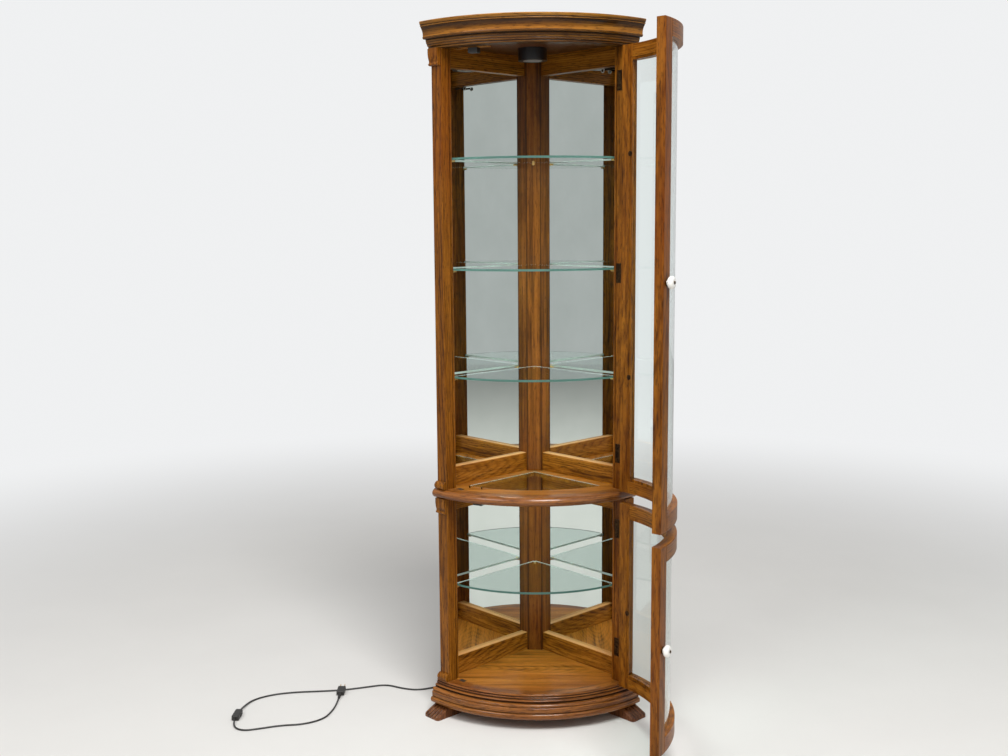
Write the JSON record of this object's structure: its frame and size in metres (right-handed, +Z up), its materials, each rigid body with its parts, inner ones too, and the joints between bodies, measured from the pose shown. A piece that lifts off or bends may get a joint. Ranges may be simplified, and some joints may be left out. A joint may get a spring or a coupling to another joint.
{
  "type": "corner curio cabinet",
  "caption": "Bow-front corner display cabinet in oak with bent-glass doors standing open, glass shelves, mirrored walls, a top light and its cord.",
  "frame": {"origin": "on the floor, under the line where the two mirrored walls meet at the back corner", "axes": "+Z up, the bowed front faces -Y, +X to the viewer's right"},
  "size_m": [1.2563, 0.8434, 1.98],
  "materials": {
    "oak": "satin",
    "back_board": "matte",
    "mirror": "polished",
    "clear_glass": "polished",
    "frosted_glass": "satin",
    "porcelain": "glossy",
    "brass": "satin",
    "antique_bronze": "satin",
    "black_paint": "satin",
    "cord_pvc": "satin",
    "black_plastic": "satin",
    "dark_plastic": "satin"
  },
  "bodies": {
    "cabinet": {"back_panels": "back_board", "base_ogee": "oak", "base_plinth": "oak", "base_rails": "oak", "catch_cleat": "oak", "corbels": "oak", "cord_to_plug": "cord_pvc", "cord_to_switch": "cord_pvc", "corner_post": "oak", "crown_cap": "oak", "crown_cove": "oak", "crown_frieze": "oak", "deck_glass": "clear_glass", "door_catches": "dark_plastic", "floor_panel": "oak", "foot_left": "oak", "foot_rear": "oak", "foot_right": "oak", "hinge_pins": "antique_bronze", "hinge_post_leaves": "antique_bronze", "lead_clips": "black_plastic", "light_bulb": "frosted_glass", "light_housing": "black_paint", "light_lead": "cord_pvc", "light_lens": "frosted_glass", "lower_rails": "oak", "lower_shelf": "clear_glass", "mirrors": "mirror", "plug_blades": "brass", "plug_body": "black_plastic", "post_left": "oak", "post_pads": "oak", "post_right": "oak", "shelf_pins": "brass", "switch_body": "black_plastic", "top_panel": "oak", "upper_rails": "oak", "upper_shelf_1": "clear_glass", "upper_shelf_2": "clear_glass", "upper_shelf_3": "clear_glass", "waist_deck": "oak", "waist_moulding": "oak"},
    "upper_door": {"upper_door_fittings": "antique_bronze", "upper_door_glass": "clear_glass", "upper_door_glass_stops": "oak", "upper_door_hinge_leaves": "antique_bronze", "upper_door_hinge_stile": "oak", "upper_door_knob": "porcelain", "upper_door_lock_stile": "oak", "upper_door_rails": "oak"},
    "lower_door": {"lower_door_fittings": "antique_bronze", "lower_door_glass": "clear_glass", "lower_door_glass_stops": "oak", "lower_door_hinge_leaves": "antique_bronze", "lower_door_hinge_stile": "oak", "lower_door_knob": "porcelain", "lower_door_lock_stile": "oak", "lower_door_rails": "oak"},
    "switch_wheel": {"switch_wheel": "black_plastic"}
  },
  "joints": [
    {"name": "upper_door_hinge", "type": "hinge", "parent": "cabinet", "child": "upper_door", "pos_m": [0.25774, -0.30653, 1.292], "axis": [0, 0, 1], "range_deg": [-96, 14]},
    {"name": "lower_door_hinge", "type": "hinge", "parent": "cabinet", "child": "lower_door", "pos_m": [0.25774, -0.30653, 0.3745], "axis": [0, 0, 1], "range_deg": [-96, 14]},
    {"name": "switch_wheel_turn", "type": "hinge", "parent": "cabinet", "child": "switch_wheel", "pos_m": [-0.8685, -0.338, 0.0085], "axis": [0, 0, 1], "continuous": true}
  ]
}
